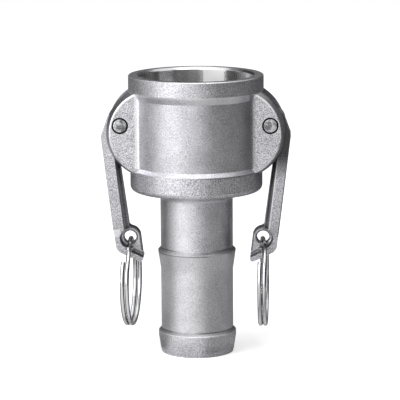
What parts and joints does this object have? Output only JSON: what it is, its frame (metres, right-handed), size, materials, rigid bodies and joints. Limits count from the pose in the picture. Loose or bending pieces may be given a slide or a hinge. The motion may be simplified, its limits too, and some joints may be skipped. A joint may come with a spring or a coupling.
{
  "type": "cam and groove coupling",
  "caption": "Cam and groove hose coupler: a socket with two hinged cam arms on pins, each with a split ring, above a hollow barbed shank.",
  "frame": {"origin": "centre of the hose shank's end face, on which the coupling stands", "axes": "+Z along the flow axis up to the mouth, X from the left cam arm to the right one, Y along the arms' pivot pins, -Y towards the viewer of the picture"},
  "size_m": [0.062, 0.0444, 0.0926],
  "materials": {
    "cast_steel": "blasted cast stainless steel, fine matte grain",
    "pin_steel": "turned stainless steel",
    "ring_wire": "polished stainless wire",
    "gasket_rubber": "black moulded rubber"
  },
  "bodies": {
    "coupler": {"coupler_body": "cast_steel", "gasket": "gasket_rubber", "left_pivot_pin": "pin_steel", "right_pivot_pin": "pin_steel"},
    "left_arm": {"left_cam_arm": "cast_steel"},
    "right_arm": {"right_cam_arm": "cast_steel"},
    "left_ring": {"left_finger_ring": "ring_wire"},
    "right_ring": {"right_finger_ring": "ring_wire"}
  },
  "joints": [
    {"name": "left_arm_pivot", "type": "hinge", "parent": "coupler", "child": "left_arm", "pos_m": [-0.0244, 0, 0.07695], "axis": [0, 1, 0], "range_deg": [0, 150]},
    {"name": "right_arm_pivot", "type": "hinge", "parent": "coupler", "child": "right_arm", "pos_m": [0.0244, 0, 0.07695], "axis": [0, -1, 0], "range_deg": [0, 150]},
    {"name": "left_ring_swing", "type": "hinge", "parent": "left_arm", "child": "left_ring", "pos_m": [-0.02197, 0, 0.03866], "axis": [0, 1, 0], "range_deg": [-13, 135]},
    {"name": "right_ring_swing", "type": "hinge", "parent": "right_arm", "child": "right_ring", "pos_m": [0.02197, 0, 0.03866], "axis": [0, -1, 0], "range_deg": [-13, 135]}
  ]
}
